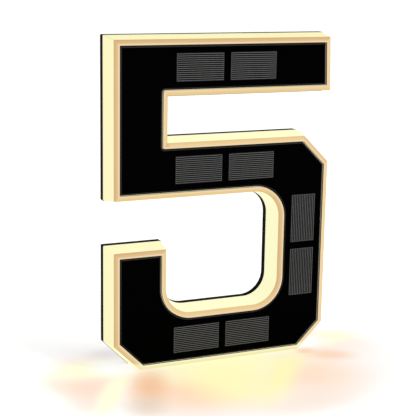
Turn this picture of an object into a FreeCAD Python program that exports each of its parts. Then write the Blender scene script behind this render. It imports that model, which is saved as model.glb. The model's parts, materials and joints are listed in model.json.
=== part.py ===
import FreeCAD, Part
import math
import os

# Illuminated house number sign: the digit 5 as an opal light box with a gloss
# black front panel, eight solar cells and a black back plate.
# Frame: +X to the reader's right, +Y to the back, +Z up, millimetres.
# The origin is the bottom centre of the whole sign, which stands on its flat base.

Vector = FreeCAD.Vector

# ---- driving dimensions: the digit ------------------------------------------
digit_width = 141.7         # front outline of the light box
digit_height = 199.4
stroke = 33.3               # width of the upright strokes and the bottom bar, rim included
middle_bar_stroke = 33.1
top_bar_stroke = 32.8
middle_bar_bottom = 105.7   # height of the middle bar's lower edge
tip_top = 74.4              # height of the lower left tip
corner_cut = 16.9           # leg of the three 45 degree outer corners
bar_end_slant = 1.2         # the top bar's end leans in by this much
bowl_radius = 16.8          # the bowl's three rounded inner corners
notch_radius = 1.2          # the notch's two inner corners, at the panel's edge
edge_radius = 0.6           # every other corner of the outline
least_radius = 0.3          # corners stay at least this round at any offset

# ---- driving dimensions: light box, panel and back plate --------------------
rim_width = 3.2             # visible rim round the black panel
bevel_width = 2.2           # sloping part of the rim
bevel_depth = 1.5
body_depth = 15.2           # front rim to the back plate's front face
body_draft = 1.85           # the side walls lean out by this much towards the back
wall = 2.0
ledge_inset = 6.2           # the panel's ledge reaches this far in from the outline
ledge_thickness = 1.5
panel_thickness = 2.2
panel_recess = 0.4
panel_gap = 0.15
panel_edge_round = 1.2
tape_thickness = 0.25
plate_thickness = 4.6
plate_overhang = 0.2        # the plate stands proud of the light box all round but below
plate_edge_cut = 0.5

# ---- driving dimensions: solar cells ----------------------------------------
cell_length = 30.5
cell_width = 16.9
cell_thickness = 1.1
cell_pair_gap = 4.2
cell_recess = 0.1
cell_clearance = 0.15
tab_width = 1.6
tab_length = 3.0
tab_spacing = 20.0
flex_width = 11.0
flex_thickness = 0.2
reflector_thickness = 0.4
reflector_gap = 0.2

# ---- driving dimensions: seal and screws ------------------------------------
gasket_inset = 0.3
gasket_width = 1.2
gasket_height = 0.9
gasket_clearance = 0.1
spigot_gap = 0.2
spigot_width = 1.2
spigot_height = 1.2
boss_radius = 3.0
boss_inset = 4.8            # boss centres from the outline
boss_relief = 0.4
screw_radius = 1.2
screw_length = 9.0
screw_head_radius = 2.3
screw_head_height = 1.6
screw_sink = 1.8            # depth of the plate's counterbores
pilot_end_gap = 1.0
thread_gap = 0.02
hole_gap = 0.2

# ---- driving dimensions: boards, battery and switch -------------------------
led_board_inset = 3.8
board_thickness = 1.0
post_height = 0.8
post_radius = 2.2
led_inset = 5.4             # row of lamps from the outline
led_pitch = 17.0
led_size = (3.5, 0.8, 2.8)
resistor_size = (1.6, 0.5, 0.8)
small_screw_radius = 0.95
small_screw_depth = 2.4     # thread below the board's back
small_head_radius = 1.8
small_head_height = 1.2
spacer_length = 3.0
spacer_radius = 2.0
control_length = 52.0
control_width = 18.0
control_thickness = 1.2
control_hole_inset = 2.6
battery_length = 50.0
battery_round = 2.0
battery_side_gap = 0.85     # from the rows of lamps beside the cell
battery_front_gap = 2.5     # from the reflector in front of the cell
battery_tape_thickness = 1.0
battery_tape_margin = 1.5
guard_thickness = 2.4
guard_length = 6.0
switch_size = 6.0
switch_height = 2.2
plunger_radius = 1.7
plunger_gap = 0.06
plunger_bottom_gap = 0.3    # free depth below the pressed plunger
button_travel = 1.2
button_stem_radius = 3.0
button_cap_radius = 4.6
button_cap_height = 2.2
button_gap = 0.08           # stem in its bore
button_cap_gap = 0.2        # cap in its well
button_sink = 0.25          # cap below the plate's back
button_end_gap = 0.2        # free depth past the button's travel
button_floor = 1.2
button_wall = 1.2
seal_width = 1.1
seal_height = 0.8
header_place = (15.0, -5.0)     # on the control board, from its middle
header_size = (5.0, 2.5)
header_pitch = 2.54
header_pin_radius = 0.35
header_pin_tip = 0.5
chip_place = (6.0, 2.0)         # small parts on the control board, from its middle
chip_size = (5.0, 1.4, 4.0)
chip_leg_size = (0.4, 0.4, 1.2)
chip_leg_pitch = 1.0
choke_place = (-3.0, 2.0)
choke_base_size = (6.0, 1.0, 6.0)
choke_radius = 2.4
choke_height = 2.2
large_capacitor_size = (3.2, 1.6, 2.4)
large_capacitor_places = [(-10.0, 3.0), (12.0, 3.0)]
small_capacitor_size = (1.6, 0.8, 0.8)
small_capacitor_places = [(0.0, -5.0), (5.0, -5.0), (12.0, -1.0)]
wire_radius = 0.6
wire_pitch = 2.0
socket_size = (5.0, 3.0, 6.5)
socket_wall = 1.0
plug_size = (5.0, 2.2, 5.0)
solar_pad_reach = 12.0      # the flex circuit's solder pads beyond the control board's end

# ---- driving dimensions: wall keyholes --------------------------------------
keyhole_entry_radius = 4.4
keyhole_slot_radius = 2.3
keyhole_travel = 8.2
keyhole_skin = 1.6
keyhole_head_radius = 4.6
keyhole_head_depth = 3.0
keyhole_wall = 1.2
board_gap = 0.5             # light board's cut-outs round housings and the button's boss

# ---- levels, measured from the front rim to the back ------------------------
total_depth = body_depth + plate_thickness
front_y = -total_depth / 2
panel_front = panel_recess
panel_back = panel_front + panel_thickness
ledge_front = panel_back + tape_thickness
ledge_back = ledge_front + ledge_thickness
cell_front = panel_front + cell_recess
cell_back = cell_front + cell_thickness
flex_back = panel_back + flex_thickness
reflector_back = flex_back + reflector_thickness
led_board_back = body_depth - post_height
led_board_front = led_board_back - board_thickness
control_back = led_board_front - spacer_length
control_front = control_back - control_thickness
battery_back = led_board_front - battery_tape_thickness
battery_front = reflector_back + battery_front_gap
battery_level = (battery_front + battery_back) / 2
switch_back = control_back + switch_height
plunger_back = switch_back + button_travel + button_end_gap
cap_back = total_depth - button_sink
cap_front = cap_back - button_cap_height
well_floor = cap_front - button_travel - button_end_gap
button_boss_front = well_floor - button_floor
button_boss_radius = button_cap_radius + button_cap_gap + button_wall
button_hole_radius = button_boss_radius + board_gap

# ---- places on the front view, x from the centre and z from the base --------
half_width = digit_width / 2
stem_right = -half_width + stroke
bowl_right = half_width - stroke
bottom_bar_top = stroke
middle_bar_top = middle_bar_bottom + middle_bar_stroke
top_bar_bottom = digit_height - top_bar_stroke
stem_middle_x = -half_width + stroke / 2
right_middle_x = half_width - stroke / 2
top_bar_z = (top_bar_bottom + digit_height) / 2
middle_bar_z = (middle_bar_bottom + middle_bar_top) / 2
bottom_bar_z = bottom_bar_top / 2
bowl_middle_z = (bottom_bar_top + middle_bar_bottom) / 2

battery_width = stroke - 2 * (led_inset + led_size[2] / 2 + battery_side_gap)
guard_width = battery_width - 2 * battery_round
guard_bottom = middle_bar_z - guard_length / 2
battery_bottom = guard_bottom + guard_length
battery_middle_z = battery_bottom + battery_length / 2

keyhole_places = [(0, top_bar_z), (0, bottom_bar_z)]
keyhole_housing_size = (
    2 * (keyhole_head_radius + keyhole_wall),
    2 * (keyhole_head_radius + keyhole_wall) + keyhole_travel,
)
keyhole_window = [size + 2 * board_gap for size in keyhole_housing_size]

boss_places = [
    (-half_width + boss_inset, digit_height - boss_inset),
    (half_width - boss_inset - bar_end_slant, digit_height - boss_inset),
    (-half_width + boss_inset, middle_bar_bottom + boss_inset),
    (half_width - corner_cut - boss_inset, middle_bar_top - boss_inset),
    (half_width - boss_inset, bowl_middle_z),
    (half_width - corner_cut - boss_inset, boss_inset),
    (-half_width + corner_cut + boss_inset, boss_inset),
    (-half_width + boss_inset, tip_top - boss_inset),
]

led_board_screw_places = [
    (stem_middle_x, top_bar_z),
    (half_width - stroke / 2, top_bar_z),
    (stem_middle_x, middle_bar_bottom + stroke / 4),
    (right_middle_x, middle_bar_bottom),
    (right_middle_x, bottom_bar_top),
    (stem_middle_x, bottom_bar_top),
]


# ---- outline of the digit ---------------------------------------------------
def corner_points():
    """Corners of the front outline, clockwise from the top left, with each corner's radius."""
    left = -half_width
    right = half_width
    notch = notch_radius - rim_width
    return [
        (left, digit_height, edge_radius),
        (right - bar_end_slant, digit_height, edge_radius),
        (right, top_bar_bottom, edge_radius),
        (stem_right, top_bar_bottom, notch),
        (stem_right, middle_bar_top, notch),
        (right - corner_cut, middle_bar_top, edge_radius),
        (right, middle_bar_top - corner_cut, edge_radius),
        (right, corner_cut, edge_radius),
        (right - corner_cut, 0, edge_radius),
        (left + corner_cut, 0, edge_radius),
        (left, corner_cut, edge_radius),
        (left, tip_top, edge_radius),
        (stem_right, tip_top, edge_radius),
        (stem_right, bottom_bar_top, bowl_radius),
        (bowl_right, bottom_bar_top, bowl_radius),
        (bowl_right, middle_bar_bottom, bowl_radius),
        (left, middle_bar_bottom, edge_radius),
    ]


def offset_corners(offset):
    """Corners of the outline moved outwards by offset, with directions and radii.

    Outside the front outline a protruding corner keeps its radius.
    """
    points = corner_points()
    count = len(points)
    lines = []
    for index in range(count):
        start = points[index]
        end = points[(index + 1) % count]
        length = math.hypot(end[0] - start[0], end[1] - start[1])
        along = ((end[0] - start[0]) / length, (end[1] - start[1]) / length)
        moved = (start[0] - along[1] * offset, start[1] + along[0] * offset)
        lines.append((moved, along))
    corners = []
    for index in range(count):
        (point, before) = lines[index - 1]
        (other, after) = lines[index]
        turn = before[0] * after[1] - before[1] * after[0]
        gap = (other[0] - point[0], other[1] - point[1])
        reach = (gap[0] * after[1] - gap[1] * after[0]) / turn
        place = (point[0] + before[0] * reach, point[1] + before[1] * reach)
        grown = points[index][2] + (min(offset, 0.0) if turn < 0 else -offset)
        corners.append((place, before, after, max(grown, least_radius)))
    return corners


def outline(offset, depth):
    """Closed wire of the digit's outline, moved outwards by offset, at a depth from the rim."""
    y = front_y + depth
    stretches = []
    for place, before, after, radius in offset_corners(offset):
        turn = math.acos(before[0] * after[0] + before[1] * after[1])
        reach = radius * math.tan(turn / 2)
        inward = (after[0] - before[0], after[1] - before[1])
        size = math.hypot(*inward)
        rise = radius / math.cos(turn / 2) - radius
        begin = Vector(place[0] - before[0] * reach, y, place[1] - before[1] * reach)
        middle = Vector(place[0] + inward[0] / size * rise, y, place[1] + inward[1] / size * rise)
        finish = Vector(place[0] + after[0] * reach, y, place[1] + after[1] * reach)
        stretches.append((begin, middle, finish))
    edges = []
    for index, (begin, middle, finish) in enumerate(stretches):
        following = stretches[(index + 1) % len(stretches)][0]
        edges.append(Part.Arc(begin, middle, finish).toShape())
        edges.append(Part.LineSegment(finish, following).toShape())
    return Part.Wire(edges)


def digit(offset, front, back):
    """Straight prism of the digit between two depths."""
    return Part.Face(outline(offset, front)).extrude(Vector(0, back - front, 0))


def digit_loft(sections):
    """Solid through several outlines, each given as (offset, depth), cut flat at the base."""
    wires = [outline(offset, depth) for offset, depth in sections]
    below = block(0, -stroke / 2, 2 * digit_width, stroke, -wall, total_depth + wall)
    return Part.makeLoft(wires, True, True).cut(below)


def digit_ring(outer, inner, front, back):
    return digit(outer, front, back).cut(digit(inner, front, back))


# ---- small shapes -----------------------------------------------------------
def block(centre_x, centre_z, size_x, size_z, front, back):
    """Box given by its middle on the front view and two depths."""
    corner = Vector(centre_x - size_x / 2, front_y + front, centre_z - size_z / 2)
    return Part.makeBox(size_x, back - front, size_z, corner)


def rod(x, z, radius, front, back):
    """Round bar along the depth."""
    return Part.makeCylinder(radius, back - front, Vector(x, front_y + front, z), Vector(0, 1, 0))


def stadium(x, low_z, high_z, radius, front, back):
    """Upright slot shape between two end centres."""
    middle = block(x, (low_z + high_z) / 2, 2 * radius, high_z - low_z, front, back)
    return middle.fuse([rod(x, low_z, radius, front, back), rod(x, high_z, radius, front, back)])


def joined(shapes):
    whole = shapes[0].fuse(shapes[1:])
    return whole.removeSplitter()


def cut_all(shape, tools):
    return shape.cut(tools) if tools else shape


def group(shapes):
    return Part.makeCompound(shapes)


def tube(points, radius):
    """Round wire along straight runs joined by arcs as large as the runs allow."""
    corners = [Vector(*point) for point in points]
    edges = []
    last = corners[0]
    for before, corner, after in zip(corners, corners[1:], corners[2:]):
        inward = (before - corner).normalize()
        outward = (after - corner).normalize()
        shorter = min((before - corner).Length, (after - corner).Length)
        turn = math.pi - inward.getAngle(outward)
        reach = 0.45 * shorter
        bend = reach / math.tan(turn / 2)
        bisector = (inward + outward).normalize()
        begin = corner + inward * reach
        finish = corner + outward * reach
        middle = corner + bisector * (bend / math.cos(turn / 2) - bend)
        edges.append(Part.LineSegment(last, begin).toShape())
        edges.append(Part.Arc(begin, middle, finish).toShape())
        last = finish
        print("wire bend radius", round(bend, 2))
    edges.append(Part.LineSegment(last, corners[-1]).toShape())
    path = Part.Wire(edges)
    profile = Part.Wire(Part.makeCircle(radius, corners[0], corners[1] - corners[0]))
    return path.makePipeShell([profile], True, False)


def cross_recess(x, z, size, front, back):
    arm = size / 3
    return block(x, z, size, arm, front, back).fuse(block(x, z, arm, size, front, back))


# ---- light box --------------------------------------------------------------
def diffuser_body():
    shell = digit_loft([
        (-bevel_width, 0),
        (0, bevel_depth),
        (body_draft, body_depth),
    ])
    bosses = [rod(x, z, boss_radius, ledge_front, body_depth) for x, z in boss_places]
    cavity = cut_all(digit(-wall, ledge_back, body_depth), bosses)
    openings = [
        digit(-rim_width, 0, ledge_front),
        digit(-ledge_inset, 0, ledge_back).cut(group(bosses)),
        cavity,
    ]
    pilot_depth = screw_length - plate_thickness + screw_sink + pilot_end_gap
    pilots = [
        rod(x, z, screw_radius + thread_gap, body_depth - pilot_depth, body_depth)
        for x, z in boss_places
    ]
    return cut_all(cut_all(shell, openings), pilots)


# ---- front panel and solar cells --------------------------------------------
def cell_places():
    """Name, middle and size on the front view of each of the eight cells."""
    step = (cell_length + cell_pair_gap) / 2
    places = {}
    for bar, z in (("top", top_bar_z), ("middle", middle_bar_z), ("bottom", bottom_bar_z)):
        places[bar + "_left"] = (-step, z, cell_length, cell_width)
        places[bar + "_right"] = (step, z, cell_length, cell_width)
    for side, z in (("upper", bowl_middle_z + step), ("lower", bowl_middle_z - step)):
        places["side_" + side] = (right_middle_x, z, cell_width, cell_length)
    return places


def tab_places():
    """Two tab places behind each cell, on the cell's long axis."""
    places = []
    for x, z, size_x, size_z in cell_places().values():
        lying = size_x > size_z
        for side in (-1, 1):
            shift = side * tab_spacing / 2
            place = (x + shift, z) if lying else (x, z + shift)
            places.append(place)
    return places


def front_panel():
    edge = -(rim_width + panel_gap)
    steps = 4
    sections = []
    for step in range(steps + 1):
        angle = math.pi / 2 * step / steps
        inset = panel_edge_round * (1 - math.sin(angle))
        depth = panel_front + panel_edge_round * (1 - math.cos(angle))
        sections.append((edge - inset, depth))
    sections.append((edge, panel_back))
    panel = digit_loft(sections)
    pockets = [
        block(x, z, size_x + 2 * cell_clearance, size_z + 2 * cell_clearance, 0, cell_back)
        for x, z, size_x, size_z in cell_places().values()
    ]
    slots = [
        block(x, z, tab_length + 2 * cell_clearance, tab_width + 2 * cell_clearance, 0, panel_back)
        for x, z in tab_places()
    ]
    return cut_all(panel, pockets + slots)


def solar_cell(x, z, size_x, size_z):
    return block(x, z, size_x, size_z, cell_front, cell_back)


def cell_tabs():
    return group([block(x, z, tab_length, tab_width, cell_back, panel_back) for x, z in tab_places()])


def flex_circuit():
    """Thin strip behind the panel that links all cells along the digit's middle line."""
    left = stem_middle_x - flex_width / 2
    right = right_middle_x + flex_width / 2
    reach = (cell_length + cell_pair_gap + tab_spacing) / 2 + tab_length
    stem = block(stem_middle_x, (top_bar_z + middle_bar_z) / 2, flex_width,
                 top_bar_z - middle_bar_z + flex_width, panel_back, flex_back)
    side = block(right_middle_x, (bottom_bar_z + middle_bar_z) / 2, flex_width,
                 middle_bar_z - bottom_bar_z + flex_width, panel_back, flex_back)
    top = block((left + reach) / 2, top_bar_z, reach - left, flex_width, panel_back, flex_back)
    middle = block((left + right) / 2, middle_bar_z, right - left, flex_width,
                   panel_back, flex_back)
    bottom = block((right - reach) / 2, bottom_bar_z, right + reach, flex_width,
                   panel_back, flex_back)
    room = digit(-(ledge_inset + reflector_gap), panel_back, flex_back)
    return joined([stem, side, top, middle, bottom]).common(room)


def panel_tape():
    edge = rim_width + panel_gap
    return digit_ring(-edge, -ledge_inset, panel_back, ledge_front)


def reflector_sheet():
    sheet = digit(-(ledge_inset + reflector_gap), flex_back, reflector_back)
    reliefs = [rod(x, z, boss_radius + boss_relief, flex_back, reflector_back)
               for x, z in boss_places]
    window = block(solar_pad_x, middle_bar_z, 4 * wire_radius, wire_pitch + 4 * wire_radius,
                   flex_back, reflector_back)
    return cut_all(sheet, reliefs + [window])


# ---- back plate, seal and screws --------------------------------------------
def keyhole_housing(x, z):
    cap = total_depth - keyhole_skin - keyhole_head_depth - keyhole_wall
    return block(x, z, *keyhole_housing_size, cap, body_depth)


def keyhole_cuts(x, z):
    low = z - keyhole_travel / 2
    high = z + keyhole_travel / 2
    skin = total_depth - keyhole_skin
    return [
        stadium(x, low, high, keyhole_head_radius, skin - keyhole_head_depth, skin),
        stadium(x, low, high, keyhole_slot_radius, skin, total_depth),
        rod(x, low, keyhole_entry_radius, skin, total_depth),
    ]


def back_plate():
    edge = body_draft + plate_overhang
    slab = digit_loft([
        (edge, body_depth),
        (edge, total_depth - plate_edge_cut),
        (edge - plate_edge_cut, total_depth),
    ])
    spigot_edge = wall + spigot_gap
    spigot = digit_ring(-spigot_edge, -(spigot_edge + spigot_width),
                        body_depth - spigot_height, body_depth)
    reliefs = [rod(x, z, boss_radius + boss_relief, body_depth - spigot_height, body_depth)
               for x, z in boss_places]
    posts = [rod(x, z, post_radius, led_board_back, body_depth)
             for x, z in led_board_screw_places + control_screw_places()]
    housings = [keyhole_housing(x, z) for x, z in keyhole_places]
    button_boss = rod(0, middle_bar_z, button_boss_radius, button_boss_front, body_depth)
    plate = joined([slab, cut_all(spigot, reliefs), button_boss] + posts + housings)

    groove = digit_ring(-gasket_inset, -(gasket_inset + gasket_width + 2 * gasket_clearance),
                        body_depth, body_depth + gasket_height)
    cuts = [groove]
    for x, z in keyhole_places:
        cuts += keyhole_cuts(x, z)
    for x, z in boss_places:
        cuts.append(rod(x, z, screw_radius + hole_gap, body_depth, total_depth))
        cuts.append(rod(x, z, screw_head_radius + hole_gap, total_depth - screw_sink, total_depth))
    for x, z in led_board_screw_places + control_screw_places():
        cuts.append(rod(x, z, small_screw_radius + thread_gap,
                        led_board_back, led_board_back + small_screw_depth + hole_gap))
    cuts.append(rod(0, middle_bar_z, button_cap_radius + button_cap_gap, well_floor, total_depth))
    cuts.append(rod(0, middle_bar_z, button_stem_radius + button_gap, button_boss_front, well_floor))
    cuts.append(rod(0, middle_bar_z, button_stem_radius + button_gap + seal_width,
                    button_boss_front, button_boss_front + seal_height))
    return cut_all(plate, cuts)


def perimeter_gasket():
    outer = gasket_inset + gasket_clearance
    return digit_ring(-outer, -(outer + gasket_width), body_depth, body_depth + gasket_height)


def screw(x, z, radius, length, head_radius, head_height, head_back):
    """Screw driven from behind: its head's back lies at head_back."""
    seat = head_back - head_height
    whole = joined([
        rod(x, z, head_radius, seat, head_back),
        rod(x, z, radius, seat - length, seat),
    ])
    return whole.cut(cross_recess(x, z, head_radius, head_back - head_height / 2, head_back))


def back_screws():
    head_back = total_depth - screw_sink + screw_head_height
    return group([
        screw(x, z, screw_radius, screw_length, screw_head_radius, screw_head_height, head_back)
        for x, z in boss_places
    ])


def front_screw(x, z, seat):
    """Small screw driven from the front into the plate's posts: its head sits on seat."""
    head_front = seat - small_head_height
    whole = joined([
        rod(x, z, small_head_radius, head_front, seat),
        rod(x, z, small_screw_radius, seat, led_board_back + small_screw_depth),
    ])
    recess = cross_recess(x, z, small_head_radius, head_front, head_front + small_head_height / 2)
    return whole.cut(recess)


# ---- light board ------------------------------------------------------------
def led_board():
    board = digit(-led_board_inset, led_board_front, led_board_back)
    cuts = [rod(x, z, boss_radius + boss_relief, led_board_front, led_board_back)
            for x, z in boss_places]
    cuts.append(rod(0, middle_bar_z, button_hole_radius, led_board_front, led_board_back))
    for x, z in keyhole_places:
        cuts.append(block(x, z, *keyhole_window, led_board_front, led_board_back))
    cuts += header_rods(led_board_front, led_board_back)
    for x, z in led_board_screw_places + control_screw_places():
        cuts.append(rod(x, z, small_screw_radius + thread_gap, led_board_front, led_board_back))
    return cut_all(board, cuts)


def is_free(x, z, reach):
    """Whether a chip that reaches this far fits on the board beside all that stands in its way."""
    rounds = [(place, boss_radius + boss_relief) for place in boss_places]
    rounds += [(place, small_head_radius) for place in led_board_screw_places]
    rounds.append(((0, middle_bar_z), button_hole_radius))
    clear_of_rounds = all(math.hypot(x - middle[0], z - middle[1]) > radius + reach
                          for middle, radius in rounds)
    window_x, window_z = keyhole_window
    clear_of_windows = all(abs(x - middle[0]) > window_x / 2 + reach
                           or abs(z - middle[1]) > window_z / 2 + reach
                           for middle in keyhole_places)
    return clear_of_rounds and clear_of_windows


def lamp_places():
    """Lamps along every straight edge, as (x, z, angle), clear of bosses and screws."""
    corners = offset_corners(-led_inset)
    reach = math.hypot(led_size[0], led_size[2]) / 2
    places = []
    for index, (start, _, along, _) in enumerate(corners):
        end = corners[(index + 1) % len(corners)][0]
        length = math.hypot(end[0] - start[0], end[1] - start[1])
        count = max(1, int(length // led_pitch))
        for number in range(count):
            distance = length * (number + 0.5) / count
            x = start[0] + along[0] * distance
            z = start[1] + along[1] * distance
            if is_free(x, z, reach):
                places.append((x, z, math.degrees(math.atan2(along[1], along[0]))))
    return places


def turned(shape, x, z, angle):
    shape.rotate(Vector(x, 0, z), Vector(0, -1, 0), angle)
    return shape


def led_chips():
    chips = []
    for x, z, angle in lamp_places():
        chip = block(x, z, led_size[0], led_size[2], led_board_front - led_size[1], led_board_front)
        chips.append(turned(chip, x, z, angle))
    return group(chips)


def led_resistors():
    """One resistor beside every third lamp, further in on the board."""
    resistors = []
    shift = led_size[2] / 2 + resistor_size[2]
    for x, z, angle in lamp_places()[::3]:
        across = math.radians(angle)
        inner_x = x + math.sin(across) * shift
        inner_z = z - math.cos(across) * shift
        if is_free(inner_x, inner_z, resistor_size[0]):
            chip = block(inner_x, inner_z, resistor_size[0], resistor_size[2],
                         led_board_front - resistor_size[1], led_board_front)
            resistors.append(turned(chip, inner_x, inner_z, angle))
    return group(resistors)


def led_board_screws():
    return group([front_screw(x, z, led_board_front) for x, z in led_board_screw_places])


# ---- control board ----------------------------------------------------------
def control_screw_places():
    reach_x = control_length / 2 - control_hole_inset
    reach_z = control_width / 2 - control_hole_inset
    return [(x, middle_bar_z + z) for x in (-reach_x, reach_x) for z in (-reach_z, reach_z)]


def control_board():
    board = block(0, middle_bar_z, control_length, control_width, control_front, control_back)
    holes = [rod(x, z, small_screw_radius + thread_gap, control_front, control_back)
             for x, z in control_screw_places()]
    return cut_all(board, holes + header_rods(control_front, control_back))


def board_spacers():
    spacers = []
    for x, z in control_screw_places():
        post = rod(x, z, spacer_radius, control_back, led_board_front)
        bore = rod(x, z, small_screw_radius + hole_gap, control_back, led_board_front)
        spacers.append(post.cut(bore))
    return group(spacers)


def control_board_screws():
    return group([front_screw(x, z, control_front) for x, z in control_screw_places()])


def on_control_board(x, z, size_x, height, size_z):
    return block(x, middle_bar_z + z, size_x, size_z, control_front - height, control_front)


def charge_chip():
    """Eight-legged chip: its legs stand out of both long sides."""
    x, z = chip_place
    body = on_control_board(x, z, *chip_size)
    shift = (chip_size[2] + chip_leg_size[2]) / 2
    legs = []
    for row in range(4):
        leg_x = x + (row - 1.5) * chip_leg_pitch
        legs += [on_control_board(leg_x, z + side * shift, *chip_leg_size) for side in (-1, 1)]
    return group([body] + legs)


def choke_coil():
    x, z = choke_place
    base = on_control_board(x, z, *choke_base_size)
    base_front = control_front - choke_base_size[1]
    core = rod(x, middle_bar_z + z, choke_radius, base_front - choke_height, base_front)
    return joined([base, core])


def board_capacitors():
    large = [on_control_board(x, z, *large_capacitor_size) for x, z in large_capacitor_places]
    small = [on_control_board(x, z, *small_capacitor_size) for x, z in small_capacitor_places]
    return group(large + small)


def header_rods(front, back):
    """The header's two pins, or the holes that they fill, between two depths."""
    x, z = header_place
    return [rod(x + side * header_pitch / 2, middle_bar_z + z, header_pin_radius, front, back)
            for side in (-1, 1)]


def pin_header_block():
    """Block between the boards round the pins that carry the lamp current."""
    x, z = header_place
    body = block(x, middle_bar_z + z, *header_size, control_back, led_board_front)
    return cut_all(body, header_rods(control_back, led_board_front))


def pin_header_pins():
    return group(header_rods(control_front - header_pin_tip, led_board_back + header_pin_tip))


# ---- leads ------------------------------------------------------------------
socket_x = control_length / 2 - 2 * control_hole_inset - socket_size[0] / 2
socket_back = control_front
socket_middle = socket_back - socket_size[1] / 2
solar_pad_x = control_length / 2 + solar_pad_reach


def lead_socket(side):
    """Open-ended box on the control board that takes a lead's plug from the board's end."""
    x = side * socket_x
    body = block(x, middle_bar_z, socket_size[0], socket_size[2],
                 socket_back - socket_size[1], socket_back)
    hollow = block(x + side * socket_wall, middle_bar_z, socket_size[0], plug_size[2],
                   socket_middle - plug_size[1] / 2, socket_middle + plug_size[1] / 2)
    return body.cut(hollow)


def plug_outer_x():
    return socket_x - socket_size[0] / 2 + socket_wall + plug_size[0]


def lead_plug(side):
    x = side * (plug_outer_x() - plug_size[0] / 2)
    return block(x, middle_bar_z, plug_size[0], plug_size[2],
                 socket_middle - plug_size[1] / 2, socket_middle + plug_size[1] / 2)


def lead_sockets():
    return group([lead_socket(-1), lead_socket(1)])


def lead_plugs():
    return group([lead_plug(-1), lead_plug(1)])


def lead_pair(route):
    """Two wires side by side, a pitch apart in height."""
    wires = []
    for side in (-1, 1):
        points = [(x, front_y + y, z + side * wire_pitch / 2) for x, y, z in route]
        wires.append(tube(points, wire_radius))
    return group(wires)


def battery_leads():
    start_x = stem_middle_x + guard_width / 2
    end_x = -plug_outer_x()
    third = (end_x - start_x) / 3
    return lead_pair([
        (start_x, battery_level, middle_bar_z),
        (start_x + third, battery_level, middle_bar_z),
        (end_x - third, socket_middle, middle_bar_z),
        (end_x, socket_middle, middle_bar_z),
    ])


def solar_leads():
    return lead_pair([
        (solar_pad_x, flex_back, middle_bar_z),
        (solar_pad_x, socket_middle, middle_bar_z),
        (plug_outer_x(), socket_middle, middle_bar_z),
    ])


# ---- battery ----------------------------------------------------------------
def battery_cell():
    body = block(stem_middle_x, battery_middle_z, battery_width, battery_length,
                 battery_front, battery_back)
    upright = [edge for edge in body.Edges if abs(edge.tangentAt(0).z) > 0.99]
    return body.makeFillet(battery_round, upright)


def battery_tape():
    return block(stem_middle_x, battery_middle_z, guard_width - battery_tape_margin,
                 battery_length - 2 * battery_tape_margin, battery_back, led_board_front)


def battery_guard_board():
    """Small protection board on the battery's lower end."""
    return block(stem_middle_x, middle_bar_z, guard_width, guard_length,
                 battery_level - guard_thickness / 2, battery_level + guard_thickness / 2)


# ---- push switch and its button ---------------------------------------------
def push_switch():
    body = block(0, middle_bar_z, switch_size, switch_size, control_back, switch_back)
    bore = rod(0, middle_bar_z, plunger_radius + plunger_gap,
               control_back + plunger_bottom_gap, switch_back)
    return body.cut(bore)


def switch_plunger():
    front = control_back + 2 * plunger_bottom_gap + button_travel
    return rod(0, middle_bar_z, plunger_radius, front, plunger_back)


def power_button():
    stem = rod(0, middle_bar_z, button_stem_radius, plunger_back, cap_front)
    cap = rod(0, middle_bar_z, button_cap_radius, cap_front, cap_back)
    rims = [edge for edge in cap.Edges if abs(edge.BoundBox.YMax - front_y - cap_back) < 0.001
            and edge.BoundBox.YLength < 0.001]
    return joined([stem, cap.makeFillet(button_cap_height / 3, rims)])


def button_seal():
    inner = button_stem_radius + button_gap
    ring = rod(0, middle_bar_z, inner + seal_width, button_boss_front,
               button_boss_front + seal_height)
    return ring.cut(rod(0, middle_bar_z, inner, button_boss_front,
                        button_boss_front + seal_height))


# ---- all nodes --------------------------------------------------------------
def nodes():
    parts = {
        "diffuser_body": diffuser_body(),
        "front_panel": front_panel(),
        "panel_tape": panel_tape(),
        "cell_tabs": cell_tabs(),
        "flex_circuit": flex_circuit(),
        "reflector_sheet": reflector_sheet(),
        "back_plate": back_plate(),
        "perimeter_gasket": perimeter_gasket(),
        "back_screws": back_screws(),
        "led_board": led_board(),
        "led_chips": led_chips(),
        "led_resistors": led_resistors(),
        "led_board_screws": led_board_screws(),
        "control_board": control_board(),
        "board_spacers": board_spacers(),
        "control_board_screws": control_board_screws(),
        "charge_chip": charge_chip(),
        "choke_coil": choke_coil(),
        "board_capacitors": board_capacitors(),
        "pin_header_block": pin_header_block(),
        "pin_header_pins": pin_header_pins(),
        "lead_sockets": lead_sockets(),
        "lead_plugs": lead_plugs(),
        "battery_leads": battery_leads(),
        "solar_leads": solar_leads(),
        "battery_cell": battery_cell(),
        "battery_tape": battery_tape(),
        "battery_guard_board": battery_guard_board(),
        "push_switch": push_switch(),
        "switch_plunger": switch_plunger(),
        "power_button": power_button(),
        "button_seal": button_seal(),
    }
    for name, place in cell_places().items():
        parts["solar_cell_" + name] = solar_cell(*place)
    return parts


os.makedirs("parts", exist_ok=True)
for name, shape in nodes().items():
    if not shape.isValid():
        raise ValueError(name + " is not a valid shape")
    shape.exportStep("parts/" + name + ".step")
    print(name, len(shape.Solids), "solids", round(shape.Volume, 1), "mm3")
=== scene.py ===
import json
import math

import bpy
from mathutils import Matrix, Vector


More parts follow.
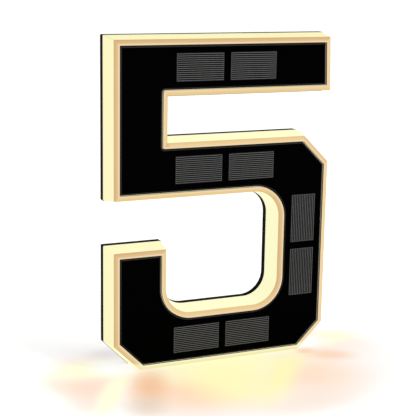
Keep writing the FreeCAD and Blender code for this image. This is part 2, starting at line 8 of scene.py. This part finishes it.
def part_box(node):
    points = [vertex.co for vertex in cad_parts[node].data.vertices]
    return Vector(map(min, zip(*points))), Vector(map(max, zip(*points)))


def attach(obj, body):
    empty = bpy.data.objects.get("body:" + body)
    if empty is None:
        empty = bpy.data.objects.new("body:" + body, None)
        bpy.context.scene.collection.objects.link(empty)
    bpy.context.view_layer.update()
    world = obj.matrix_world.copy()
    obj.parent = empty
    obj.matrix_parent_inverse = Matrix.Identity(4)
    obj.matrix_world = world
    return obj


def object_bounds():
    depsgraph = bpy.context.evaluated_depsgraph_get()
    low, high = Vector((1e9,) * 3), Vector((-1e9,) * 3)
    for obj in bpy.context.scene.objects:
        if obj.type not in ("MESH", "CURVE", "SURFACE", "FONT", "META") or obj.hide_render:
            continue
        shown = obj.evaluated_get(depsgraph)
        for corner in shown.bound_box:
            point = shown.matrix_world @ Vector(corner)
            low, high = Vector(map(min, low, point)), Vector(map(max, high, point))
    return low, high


# Looks of the illuminated house number sign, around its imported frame.
# Metres, in the frame's axes: +X to the reader's right, +Y to the back, +Z up.

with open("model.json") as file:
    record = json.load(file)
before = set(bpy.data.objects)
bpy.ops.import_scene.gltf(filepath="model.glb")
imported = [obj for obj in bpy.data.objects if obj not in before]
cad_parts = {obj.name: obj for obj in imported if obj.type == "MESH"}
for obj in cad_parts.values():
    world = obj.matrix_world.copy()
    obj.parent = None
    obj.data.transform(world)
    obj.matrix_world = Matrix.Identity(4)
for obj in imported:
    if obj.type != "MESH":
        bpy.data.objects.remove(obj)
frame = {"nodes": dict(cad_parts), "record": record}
cad_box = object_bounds()

MM = 0.001
FRONT = cad_box[0].y                # plane of the front rim
WHITE = (1.0, 1.0, 1.0, 1.0)
BLACK = (0.0, 0.0, 0.0, 1.0)

# ---- camera, as the photograph was taken -------------------------------------
CAMERA_PLACE = Vector((-0.2885, -0.6278, 0.2480))
CAMERA_YAW = 24.16                  # degrees, towards +X
CAMERA_PITCH = -12.48
CAMERA_ROLL = 1.01
CAMERA_LENS = 99.58
SENSOR = 36.0
CLIP_START = 0.01
CLIP_END = 50.0

# ---- light -------------------------------------------------------------------
SKY_STRENGTH = 0.75                 # what the white surroundings give to matt surfaces
KEY_PLACE = Vector((0.9, -1.0, 1.3))
KEY_SIZE = 0.9
KEY_POWER = 14.0
KEY_AIM = Vector((0.0, 0.0, 0.09))

# ---- opal light box ----------------------------------------------------------
BODY_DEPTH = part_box("diffuser_body")[1].y - FRONT
BEVEL_DEPTH = 1.5 * MM
RIM_SHADE = 0.2 * MM                # depth over which the rim's inner wall goes dark with painted shade
FRONT_EDGE_END = 4 * MM             # depth at which the painted light of the walls' paler front edge has gone
BACK_EDGE = 1.6 * MM                # width of their paler back edge of painted light
GLOW_SHARE = 0.91                   # of its colour that the opal plastic gives off itself
LIT_SHARE = 0.07                    # of its colour that it reflects
CLOUDING = 0.05                     # how far its tone wanders towards that of its clouds
AWAY = (0.71, 0.0, -0.71)           # down and to the right, where the bevels' painted light is brightest
LIT_LEDGE_SHARE = 0.7               # of that painted light, on the bevels that face up in a recess
OUTER_LEDGE_SHADE_SHARE = 0.22            # of the painted ledge shade, on those that face up outside
# Tones of the opal's painted glow. The paler wall edges and bowl walls are painted light. The
# darker walls on top, the dark rim inside and the ledge bevel are painted shade. The bevels are
# painted lighter where they face down and right, and the floor's light is painted on the bottom
# rim.
OPAL_TONES = {
    "wall": "fdf7c3",
    "wall_edge_painted_light": "fefbc9",
    "wall_in_bowl_painted_light": "fffccd",
    "wall_on_top_painted_shade": "efe9b0",
    "painted_shade_rim_inside": "32292a",
    # painted shade and painted light on the bevels, by the way they face
    "shaded_bevel_outside": "d8b27a",
    "shaded_bevel_inside": "e5c394",
    "painted_lit_bevel_outside": "e9c98c",
    "painted_lit_bevel_inside": "f1d097",
    # painted shade on the bevels that face up outside the recesses
    "painted_shade_on_ledge": "c49a60",
    "bevel_in_painted_floor_light": "f8efb2",
    "lip": "f2d7aa",
    "lip_in_painted_floor_light": "fffacb",
    "clouds": "fff3c0",
}

# Zones of the sign: the axis, and where on it in mm the zone starts and where it is full.
RIGHT_OF_STEM = ("X", -38, -36)
BELOW_TOP_BAR = ("Z", 150, 148)
BELOW_MIDDLE_BAR = ("Z", 116, 112)
TOP_OF_SIGN = ("Z", 190, 195)
# painted light from the floor on the cells' lines
CELLS_IN_FLOOR_LIGHT = ("Z", 60, 25)
# painted light from the floor on the bottom rim
FLOOR_LIGHT_ZONE = ("Z", 6, 3)

# ---- solar cells -------------------------------------------------------------
FINGER_PITCH = 1.2 * MM
FINGER_WIDTH = 0.32 * MM
FINGER_RISE = 0.03 * MM
FINGER_CHAMFER = 0.04 * MM
FINGER_MARGIN = 0.45 * MM           # from the cell's ends
BUS_WIDTH = 0.15 * MM
BUS_INSET = 0.3 * MM

# ---- finishes with a plain grain ---------------------------------------------
# Dark and light tone, lowest and highest roughness, then the size of its blotches, the
# size of its grain and the grain's relief, in mm.
PLAIN_FINISHES = {
    "button_plastic": ("1c1c1e", "242426", (0.34, 0.46), 6, 0.25, 0.01),
    "seal_rubber": ("8c8c8d", "9c9c9e", (0.7, 0.85), 4, 0.3, 0.02),
    "bond_tape": ("e6e6e2", "f2f2ee", (0.8, 0.95), 5, 0.4, 0.05),
    "flex_film": ("8a4c12", "a8641e", (0.2, 0.32), 8, 0.5, 0.004),
    "reflector_film": ("f0f0ec", "f7f7f4", (0.35, 0.5), 15, 0.6, 0.01),
    "white_board": ("ecece8", "f4f4f1", (0.25, 0.35), 10, 0.4, 0.006),
    "green_board": ("0f4a2c", "166038", (0.2, 0.32), 4, 0.5, 0.012),
    "lamp_phosphor": ("e8c04e", "f3d36c", (0.3, 0.45), 1.2, 0.1, 0.01),
    "chip_black": ("1d1d1e", "2a2a2b", (0.5, 0.65), 2, 0.12, 0.01),
    "choke_dark": ("3a3634", "4a4542", (0.5, 0.7), 2, 0.2, 0.02),
    "capacitor_tan": ("a9855e", "bd9a72", (0.35, 0.5), 1, 0.1, 0.008),
    "connector_white": ("e2dfd2", "edeade", (0.4, 0.55), 3, 0.2, 0.01),
    "wire_red": ("a81616", "bf2420", (0.35, 0.5), 5, 0.4, 0.01),
    "wire_black": ("1c1c1c", "2a2a2a", (0.35, 0.5), 5, 0.4, 0.01),
}
METAL_FINISHES = {
    "copper_tab": ("b8764e", "d39a6e", (0.25, 0.4), 1.5, 0.2, 0.01),
    "pin_metal": ("c9a552", "dfc27a", (0.2, 0.35), 1, 0.1, 0.004),
    "battery_foil": ("b4b6ba", "cccdd1", (0.28, 0.42), 6, 1.2, 0.06),
}

# ---- floor -------------------------------------------------------------------
FLOOR_HALF = 6.0
# Painted pools of the sign's light on the floor, and painted shadows, each laid over those before
# it: colour as seen, middle and half sizes in mm, turn in degrees, strength.
PAINTED_FLOOR_POOLS = [
    ("fdf0e8", (2, -30), (118, 82), 0, 0.95),       # wide warm haze
    ("fde4d2", (-84, -6), (36, 34), 0, 0.75),       # peach round both hot spots
    ("fde6d8", (84, -4), (34, 30), 0, 0.60),
    ("fbd6b2", (-38, -50), (42, 40), 0, 0.85),      # peach at the front left
    ("fcdcc2", (39, -51), (38, 37), -20, 0.80),     # peach at the front right
    ("f3dfce", (18, -90), (38, 22), 0, 0.55),       # its faint end, towards the viewer
    ("fbe0c8", (-106, -12), (16, 16), 0, 0.50),     # outer end of the peach at the left
    ("fffed8", (-82, 3), (24, 18), 0, 0.95),        # yellow round both hot spots
    ("fffed8", (84, 4), (24, 13), 10, 0.90),
    ("fad8be", (-94, -26), (20, 15), 20, 0.60),     # deeper peach in front of the left one
    ("f2dac6", (-99, -46), (15, 22), -25, 0.55),
    ("f8d0b2", (68, -25), (18, 11), -25, 0.78),     # and in front of the right one
    ("fffdc8", (-2, -20), (56, 28), 0, 1.00),       # yellow fan in front of the base
    ("fffabc", (-9, -50), (30, 38), 0, 0.85),
    ("fffab4", (24, -46), (10, 46), -38, 0.70),
    ("f0b88a", (-58, -35), (12, 28), -22, 0.70),    # painted shadow streak past the left corner
    ("dccab8", (-70, -63), (13, 18), -22, 0.60),
    ("fffedc", (-81, -36), (8, 40), -31, 1.00),     # bright streak beside it
    ("f4c6aa", (57, -13), (7, 6), 0, 0.60),         # right corner
    ("ffffff", (-67, 3), (17, 17), 0, 1.00),        # hot spots beside both corners
    ("ffffff", (66, 4), (17, 12), 0, 1.00),
    ("d6d6da", (-64, 26), (14, 11), 0, 0.40),       # painted shadow at the foot of the back plate
]
POOL_CORE = 0.1                     # share of a pool's radius that has its full strength
POOL_REACH = 1.4                    # radius at which it has gone
HAZE_FULL = 0.5                     # strength of the haze from which the floor counts as lit
# The floor's colour is reflected by these shares, and added where it is seen by these.
OPEN_ALBEDO, OPEN_LIFT = 0.80, 0.42
LIT_ALBEDO, LIT_LIFT = 0.25, 0.80


def srgb(code):
    """Linear colour of a hexadecimal sRGB code."""
    parts = [int(code[i:i + 2], 16) / 255 for i in (0, 2, 4)]
    linear = [c / 12.92 if c <= 0.04045 else ((c + 0.055) / 1.055) ** 2.4 for c in parts]
    return (*linear, 1.0)


# ---- shader nodes ------------------------------------------------------------
class Nodes:
    """A node tree: most methods add a node to it and return that node's output."""

    def __init__(self, tree):
        self.tree = tree
        self.tree.nodes.clear()

    def add(self, kind, inputs=None, **settings):
        """New node. An input is a value, or the output that is linked to it."""
        node = self.tree.nodes.new("ShaderNode" + kind)
        for key, value in settings.items():
            setattr(node, key, value)
        for key, value in (inputs or {}).items():
            socket = node.inputs[key]
            if isinstance(value, bpy.types.NodeSocket):
                self.tree.links.new(value, socket)
            else:
                socket.default_value = value
        return node

    def place(self):
        return self.add("TexCoord").outputs["Object"]

    def normal(self):
        return self.add("TexCoord").outputs["Normal"]

    def axis(self, vector, name):
        return self.add("SeparateXYZ", {0: vector}).outputs[name]

    def math(self, operation, first, second=0.0, third=0.0):
        return self.add("Math", {0: first, 1: second, 2: third}, operation=operation).outputs[0]

    def facing_front(self):
        """1 on faces that look to the front, 0 on the sides, -1 on the back."""
        return self.math("MULTIPLY", self.axis(self.normal(), "Y"), -1.0)

    def ramp(self, value, low, high, start=0.0, end=1.0):
        """Goes from start to end while value goes from low to high, and stays there."""
        node = self.add("MapRange", {0: value, 1: low, 2: high, 3: start, 4: end},
                        interpolation_type="SMOOTHSTEP")
        return node.outputs[0]

    def zone(self, axis, start, full):
        """0 at start mm on an axis of the frame, 1 at full mm."""
        return self.ramp(self.axis(self.place(), axis), start * MM, full * MM)

    def spread(self, noise, start, end):
        """Goes from start to end over the noise's usual values."""
        return self.ramp(noise, 0.3, 0.7, start, end)

    def mix(self, share, first, second):
        node = self.add("Mix", {0: share, 6: first, 7: second}, data_type="RGBA")
        return node.outputs[2]

    def tone(self, noise, dark, light):
        """Goes from the dark to the light sRGB code, with clear blotches."""
        return self.mix(self.ramp(noise, 0.35, 0.65), srgb(dark), srgb(light))

    def noise(self, size, detail=3.0, roughness=0.5, vector=None):
        """Noise whose blobs are about size metres across."""
        node = self.add("TexNoise", {"Vector": vector or self.place(), "Scale": 1 / size,
                                     "Detail": detail, "Roughness": roughness})
        return node.outputs["Fac"]

    def bump(self, height, distance):
        return self.add("Bump", {"Height": height, "Distance": distance}).outputs[0]

    def seen_directly(self):
        """1 for camera, glossy and transmission rays, 0 for those that light matt surfaces."""
        path = self.add("LightPath").outputs
        mirrored = self.math("MAXIMUM", path["Is Glossy Ray"], path["Is Transmission Ray"])
        return self.math("MAXIMUM", path["Is Camera Ray"], mirrored)


class Shader(Nodes):
    """The node tree of one new material."""

    def __init__(self, name):
        self.material = bpy.data.materials.new(name)
        self.material.use_nodes = True
        super().__init__(self.material.node_tree)

    def finished(self, surface):
        """The material, with this shader as its surface."""
        self.add("OutputMaterial", {"Surface": surface})
        return self.material

    def surface(self, **inputs):
        """The material, with a principled shader: names have underscores for spaces."""
        named = {key.replace("_", " "): value for key, value in inputs.items()}
        return self.finished(self.add("BsdfPrincipled", named).outputs[0])


# ---- materials ---------------------------------------------------------------
def grained(name, metallic, dark, light, rough, blotch, grain, relief):
    """Moulded, rolled or cast surface: its tone and gloss wander, and it has a fine grain."""
    shader = Shader(name)
    fine = shader.noise(grain * MM, 4.0, 0.6)
    return shader.surface(
        Base_Color=shader.tone(shader.noise(blotch * MM), dark, light),
        Roughness=shader.spread(fine, *rough),
        Metallic=metallic,
        Normal=shader.bump(fine, relief * MM),
    )


def opal_plastic():
    """Lit opal moulding, its glow painted by place and facing: cream side walls, a tan bevel and
    a paler lip beside the panel.
    """
    shader = Shader("opal_plastic")
    tones = {name: srgb(code) for name, code in OPAL_TONES.items()}
    normal = shader.normal()
    facing = shader.facing_front()
    depth = shader.math("SUBTRACT", shader.axis(shader.place(), "Y"), FRONT)
    fine = shader.noise(0.35 * MM)
    upward = shader.ramp(shader.axis(normal, "Z"), 0.2, 0.5)
    right_of_stem = shader.zone(*RIGHT_OF_STEM)
    painted_floor_light = shader.zone(*FLOOR_LIGHT_ZONE)

    # painted light: the walls paler near their front and back edges
    near_front = shader.ramp(depth, FRONT_EDGE_END, BEVEL_DEPTH)
    near_back = shader.ramp(depth, BODY_DEPTH - BACK_EDGE, BODY_DEPTH)
    painted_edge_light = shader.math("MAXIMUM", near_front, near_back)
    wall = shader.mix(painted_edge_light, tones["wall"], tones["wall_edge_painted_light"])
    # painted light: the walls inside the bowl paler
    in_bowl = shader.math("MULTIPLY", right_of_stem, shader.zone(*BELOW_MIDDLE_BAR))
    wall = shader.mix(in_bowl, wall, tones["wall_in_bowl_painted_light"])
    # painted shade: the walls that face up on top of the sign darker
    on_top = shader.math("MULTIPLY", upward, shader.zone(*TOP_OF_SIGN))
    wall = shader.mix(on_top, wall, tones["wall_on_top_painted_shade"])
    # painted shade on the rim's inner wall, in front of the bevel's depth
    behind_rim = shader.ramp(depth, BEVEL_DEPTH - RIM_SHADE, BEVEL_DEPTH)
    wall = shader.mix(behind_rim, tones["painted_shade_rim_inside"], wall)

    recess = shader.math("MULTIPLY", right_of_stem, shader.zone(*BELOW_TOP_BAR))
    lit_ledge = shader.math("MULTIPLY", upward, recess)
    outer_ledge = shader.math("SUBTRACT", upward, lit_ledge)
    # Painted light and shade on the bevels: lighter where they face down and right, darker where
    # they face up and left and at their outer edge.
    turned = shader.add("VectorMath", {0: normal, 1: AWAY}, operation="DOT_PRODUCT")
    away = shader.ramp(turned.outputs["Value"], -0.45, 0.5)
    painted_light_share = shader.math("MAXIMUM", away, shader.math("MULTIPLY", lit_ledge, LIT_LEDGE_SHARE))
    inward = shader.ramp(depth, BEVEL_DEPTH, 0.0)
    shaded_bevel = shader.mix(inward, tones["shaded_bevel_outside"], tones["shaded_bevel_inside"])
    lit_bevel_tone = shader.mix(inward, tones["painted_lit_bevel_outside"], tones["painted_lit_bevel_inside"])
    bevel = shader.mix(painted_light_share, shaded_bevel, lit_bevel_tone)
    # painted shade on the bevels that face up outside the recesses
    ledge_shade_share = shader.math("MULTIPLY", outer_ledge, OUTER_LEDGE_SHADE_SHARE)
    bevel = shader.mix(ledge_shade_share, bevel, tones["painted_shade_on_ledge"])
    # painted light from the glowing floor on the bottom rim's bevel and lip
    bevel = shader.mix(painted_floor_light, bevel, tones["bevel_in_painted_floor_light"])
    lip = shader.mix(painted_floor_light, tones["lip"], tones["lip_in_painted_floor_light"])

    front = shader.mix(shader.ramp(facing, 0.90, 0.97), bevel, lip)
    colour = shader.mix(shader.ramp(facing, 0.35, 0.6), wall, front)
    clouds = shader.spread(shader.noise(22 * MM, 2.0), 0.0, CLOUDING)
    glow = shader.mix(clouds, colour, tones["clouds"])
    return shader.surface(
        Base_Color=shader.mix(LIT_SHARE, BLACK, glow),
        Roughness=shader.spread(fine, 0.32, 0.42),
        Specular_IOR_Level=0.1,
        Emission_Color=glow,
        Emission_Strength=GLOW_SHARE,
        Normal=shader.bump(fine, 0.004 * MM),
    )


def gloss_black_panel():
    """Polished black moulding with faint wiping marks, a little dust and a painted highlight
    along its rounded edge.
    """
    shader = Shader("gloss_black_panel")
    wipe = shader.add("Mapping", {"Vector": shader.place(), "Scale": (1.0, 1.0, 0.12),
                                  "Rotation": (0.0, math.radians(35), 0.0)})
    streaks = shader.noise(3 * MM, 5.0, 0.6, wipe.outputs[0])
    dust = shader.ramp(shader.noise(0.5 * MM, 2.0), 0.72, 0.8)
    facing = shader.facing_front()
    rounded = shader.ramp(facing, 0.9998, 0.985)
    # painted highlight on the rounded edge, where it catches the rim's light
    painted_edge_light = shader.math("MINIMUM", rounded, shader.ramp(facing, 0.2, 0.5))
    tone = shader.mix(dust, srgb("010101"), srgb("0a0a0c"))
    return shader.surface(
        Base_Color=shader.mix(painted_edge_light, tone, srgb("302e2f")),
        Roughness=shader.ramp(streaks, 0.35, 0.75, 0.05, 0.13),
        Specular_IOR_Level=0.005,
        Normal=shader.bump(streaks, 0.002 * MM),
    )


def solar_cell():
    """Dark laminate of the cells, with a faint blue cast where the film is thicker."""
    shader = Shader("solar_cell")
    fine = shader.noise(0.2 * MM)
    return shader.surface(
        Base_Color=shader.tone(shader.noise(5 * MM, 2.0), "0b0b0c", "101014"),
        Roughness=shader.spread(fine, 0.25, 0.38),
        Specular_IOR_Level=0.08,
        Normal=shader.bump(fine, 0.002 * MM),
    )


def cell_fingers():
    """Printed silver lines of the cells, a little tarnished, with painted light from the floor
    making them brighter near it.
    """
    shader = Shader("cell_fingers")
    tarnish = shader.spread(shader.noise(1.5 * MM), 0.0, 1.0)
    fine = shader.noise(0.08 * MM)
    tone = shader.mix(tarnish, srgb("61615f"), srgb("6a6a68"))
    return shader.surface(
        # painted light from the floor: the lines brighter lower down
        Base_Color=shader.mix(shader.zone(*CELLS_IN_FLOOR_LIGHT), tone, srgb("747472")),
        Roughness=shader.spread(fine, 0.4, 0.55),
        Specular_IOR_Level=0.2,
        Normal=shader.bump(fine, 0.004 * MM),
    )


def black_plastic():
    """Back plate: black plastic with a fine spark-eroded texture."""
    shader = Shader("black_plastic")
    pits = shader.add("TexVoronoi", {"Vector": shader.place(), "Scale": 1 / (0.45 * MM)})
    fine = shader.noise(0.3 * MM, 4.0, 0.65)
    height = shader.math("MULTIPLY_ADD", pits.outputs["Distance"], 0.5, fine)
    return shader.surface(
        Base_Color=shader.tone(shader.noise(18 * MM), "080809", "0f0f10"),
        Roughness=shader.spread(fine, 0.46, 0.62),
        Specular_IOR_Level=0.01,
        Normal=shader.bump(height, 0.02 * MM),
    )


def steel_screw():
    """Zinc-plated steel with fine scratches and duller patches."""
    shader = Shader("steel_screw")
    stretched = shader.add("Mapping", {"Vector": shader.place(), "Scale": (1.0, 1.0, 6.0)})
    scratches = shader.noise(0.15 * MM, 4.0, 0.6, stretched.outputs[0])
    patches = shader.noise(1.2 * MM)
    return shader.surface(
        Base_Color=shader.tone(patches, "a4a5a8", "c9cacd"),
        Metallic=1.0,
        Roughness=shader.spread(patches, 0.24, 0.42),
        Normal=shader.bump(scratches, 0.006 * MM),
    )


def make_finishes():
    """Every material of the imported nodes, by the name of its slot."""
    finishes = {
        "opal_plastic": opal_plastic(),
        "gloss_black_panel": gloss_black_panel(),
        "solar_cell": solar_cell(),
        "black_plastic": black_plastic(),
        "steel_screw": steel_screw(),
    }
    for table, metallic in ((PLAIN_FINISHES, 0.0), (METAL_FINISHES, 1.0)):
        for name, values in table.items():
            finishes[name] = grained(name, metallic, *values)
    return finishes


def finish_nodes():
    """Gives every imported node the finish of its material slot."""
    finishes = make_finishes()
    for part in frame["record"]["subparts"]:
        node = frame["nodes"][part["node"]]
        for slot in node.material_slots:
            slot.material = finishes[part["material_slot"]]


# ---- solar cells' printed lines ----------------------------------------------
def strip(low, high, along, front, vertices, faces):
    """Raised line between two corners (u, v) on a front plane, with chamfered edges."""
    (u0, v0), (u1, v1) = low, high
    base = len(vertices)
    chamfer = FINGER_CHAMFER
    outline = [(u0, v0), (u1, v0), (u1, v1), (u0, v1)]
    top = [(u0 + chamfer, v0 + chamfer), (u1 - chamfer, v0 + chamfer),
           (u1 - chamfer, v1 - chamfer), (u0 + chamfer, v1 - chamfer)]
    for corners, y in ((outline, front), (top, front - FINGER_RISE)):
        for u, v in corners:
            vertices.append((u, y, v) if along == "x" else (v, y, u))
    for i in range(4):
        j = (i + 1) % 4
        faces.append((base + i, base + j, base + 4 + j, base + 4 + i))
    faces.append((base + 4, base + 5, base + 6, base + 7))
    faces.append((base + 3, base + 2, base + 1, base))


def cell_grid(node, material):
    """Parallel fingers along a cell's long side, joined by a thin bus line at each end."""
    low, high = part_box(node)
    along = "x" if high.x - low.x > high.z - low.z else "z"
    if along == "x":
        (u0, u1), (v0, v1) = (low.x, high.x), (low.z, high.z)
    else:
        (u0, u1), (v0, v1) = (low.z, high.z), (low.x, high.x)
    count = int((v1 - v0) / FINGER_PITCH)
    first = (v0 + v1) / 2 - (count - 1) * FINGER_PITCH / 2
    last = first + (count - 1) * FINGER_PITCH
    vertices = []
    faces = []
    for number in range(count):
        middle = first + number * FINGER_PITCH
        strip((u0 + FINGER_MARGIN, middle - FINGER_WIDTH / 2),
              (u1 - FINGER_MARGIN, middle + FINGER_WIDTH / 2), along, low.y, vertices, faces)
    for start in (u0 + BUS_INSET, u1 - BUS_INSET - BUS_WIDTH):
        strip((start, first - FINGER_WIDTH / 2),
              (start + BUS_WIDTH, last + FINGER_WIDTH / 2), along, low.y, vertices, faces)
    mesh = bpy.data.meshes.new(node + "_grid")
    mesh.from_pydata(vertices, [], faces)
    mesh.validate()
    mesh.materials.append(material)
    grid = bpy.data.objects.new(node + "_grid", mesh)
    bpy.context.scene.collection.objects.link(grid)
    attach(grid, "housing")


# ---- stage -------------------------------------------------------------------
def pool_mask(shader, pool):
    """The pool's strength where it is full, falling to 0 past its edge."""
    _, (x, y), (half_x, half_y), turn, strength = pool
    moved = shader.add("Mapping", {
        "Vector": shader.place(),
        "Location": (x * MM, y * MM, 0.0),
        "Rotation": (0.0, 0.0, math.radians(turn)),
        "Scale": (half_x * MM, half_y * MM, 1.0),
    }, vector_type="TEXTURE").outputs[0]
    reach = shader.add("VectorMath", {0: moved}, operation="LENGTH").outputs["Value"]
    return shader.ramp(reach, POOL_CORE, POOL_REACH, strength, 0.0)


def floor_material():
    """White floor with painted pools of the sign's light and painted shadows, in their colours.
    """
    shader = Shader("pale_floor_painted_pools")
    painted_pool_tint = WHITE
    for pool in PAINTED_FLOOR_POOLS:
        painted_pool_tint = shader.mix(pool_mask(shader, pool), painted_pool_tint, srgb(pool[0]))
    haze = PAINTED_FLOOR_POOLS[0]
    lit = shader.ramp(pool_mask(shader, haze), 0.0, HAZE_FULL)
    albedo = shader.ramp(lit, 0.0, 1.0, OPEN_ALBEDO, LIT_ALBEDO)
    matt = shader.mix(albedo, BLACK, painted_pool_tint)
    diffuse = shader.add("BsdfDiffuse", {"Color": matt, "Roughness": 0.3}).outputs[0]
    added = shader.ramp(lit, 0.0, 1.0, OPEN_LIFT, LIT_LIFT)
    lift = shader.math("MULTIPLY", shader.seen_directly(), added)
    light = shader.add("Emission", {"Color": painted_pool_tint, "Strength": lift}).outputs[0]
    return shader.finished(shader.add("AddShader", {0: diffuse, 1: light}).outputs[0])


def add_floor():
    corners = [(x * FLOOR_HALF, y * FLOOR_HALF, 0.0)
               for x, y in ((-1, -1), (1, -1), (1, 1), (-1, 1))]
    mesh = bpy.data.meshes.new("floor")
    mesh.from_pydata(corners, [], [(0, 1, 2, 3)])
    mesh.materials.append(floor_material())
    floor = bpy.data.objects.new("floor", mesh)
    bpy.context.scene.collection.objects.link(floor)


def add_world():
    """White surroundings: full white where seen, softer as light on matt surfaces."""
    world = bpy.data.worlds.new("studio")
    bpy.context.scene.world = world
    world.use_nodes = True
    nodes = Nodes(world.node_tree)
    strength = nodes.ramp(nodes.seen_directly(), 0.0, 1.0, SKY_STRENGTH, 1.0)
    background = nodes.add("Background", {"Color": WHITE, "Strength": strength})
    nodes.add("OutputWorld", {"Surface": background.outputs[0]})


def add_key_lamp():
    data = bpy.data.lights.new("key", "AREA")
    data.shape = "DISK"
    data.size = KEY_SIZE
    data.energy = KEY_POWER
    lamp = bpy.data.objects.new("key", data)
    lamp.location = KEY_PLACE
    lamp.rotation_euler = (KEY_AIM - KEY_PLACE).to_track_quat("-Z", "Y").to_euler()
    bpy.context.scene.collection.objects.link(lamp)


def add_camera():
    data = bpy.data.cameras.new("camera")
    data.lens = CAMERA_LENS
    data.sensor_width = SENSOR
    data.clip_start = CLIP_START
    data.clip_end = CLIP_END
    camera = bpy.data.objects.new("camera", data)
    turn = Matrix.Rotation(math.radians(-CAMERA_YAW), 4, "Z")
    tilt = Matrix.Rotation(math.radians(90 + CAMERA_PITCH), 4, "X")
    roll = Matrix.Rotation(math.radians(CAMERA_ROLL), 4, "Z")
    camera.matrix_world = Matrix.Translation(CAMERA_PLACE) @ turn @ tilt @ roll
    bpy.context.scene.collection.objects.link(camera)
    bpy.context.scene.camera = camera


finish_nodes()
fingers = cell_fingers()
for name in sorted(frame["nodes"]):
    if name.startswith("solar_cell_"):
        cell_grid(name, fingers)
add_floor()
add_world()
add_key_lamp()
add_camera()
bpy.context.scene.view_settings.view_transform = "Standard"
